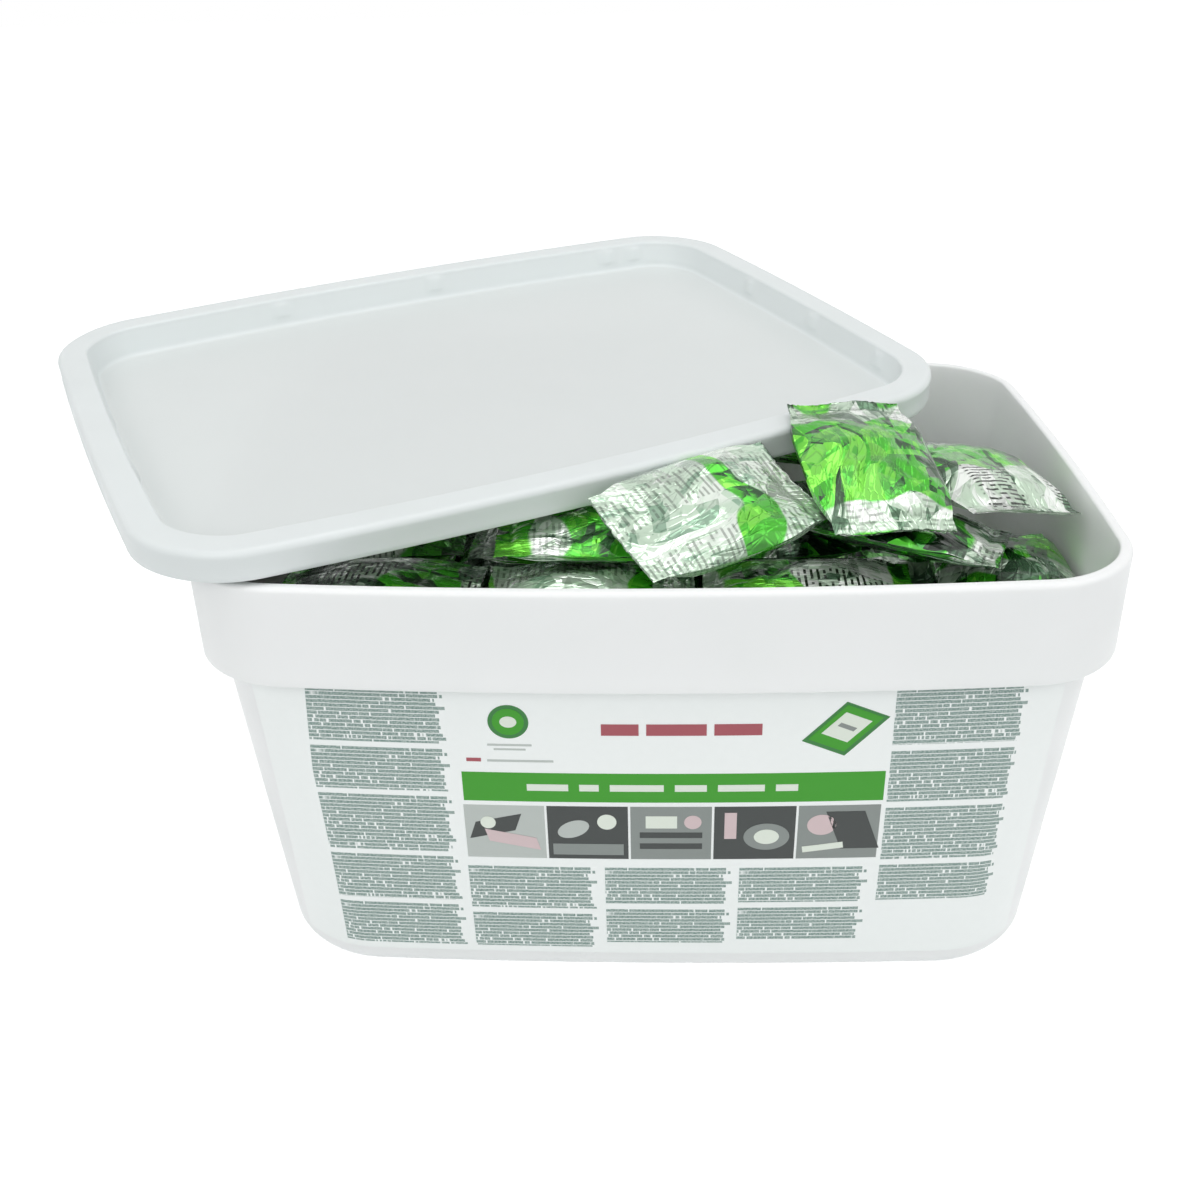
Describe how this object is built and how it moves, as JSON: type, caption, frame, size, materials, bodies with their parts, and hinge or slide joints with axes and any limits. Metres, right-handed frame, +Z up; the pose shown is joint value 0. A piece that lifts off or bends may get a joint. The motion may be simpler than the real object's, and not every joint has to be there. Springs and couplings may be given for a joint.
{
  "type": "oven cleaning tablet tub",
  "caption": "Rectangular plastic tub with a deep collar, a loose recessed lid lying askew on it, and film-wrapped cleaning tablets inside.",
  "frame": {"origin": "centre of the tub's base, on the surface it stands on", "axes": "+X to the right along the long sides, +Y to the back, +Z up; the label faces -Y"},
  "size_m": [0.4879, 0.3927, 0.2443],
  "materials": {
    "tub_plastic": "satin moulded polypropylene, white",
    "lid_plastic": "satin moulded polypropylene, white",
    "label_sheet": "printed film, white with green and grey fields",
    "sachet_film": "crumpled metallised film, printed green and silver"
  },
  "bodies": {
    "root": {"tub": "tub_plastic", "lid": "lid_plastic", "label": "label_sheet", "bed_layer_1": "sachet_film", "bed_layer_2": "sachet_film", "bed_layer_3": "sachet_film", "bed_layer_4": "sachet_film", "bed_layer_5": "sachet_film", "bed_layer_6": "sachet_film", "bed_layer_7": "sachet_film", "bed_layer_8": "sachet_film", "sachet_1": "sachet_film", "sachet_2": "sachet_film", "sachet_3": "sachet_film", "sachet_4": "sachet_film", "sachet_5": "sachet_film", "sachet_6": "sachet_film", "sachet_7": "sachet_film", "sachet_8": "sachet_film", "sachet_9": "sachet_film", "sachet_10": "sachet_film", "sachet_11": "sachet_film", "sachet_12": "sachet_film", "sachet_13": "sachet_film", "sachet_14": "sachet_film", "sachet_15": "sachet_film", "sachet_16": "sachet_film", "sachet_17": "sachet_film", "sachet_18": "sachet_film"}
  },
  "joints": []
}
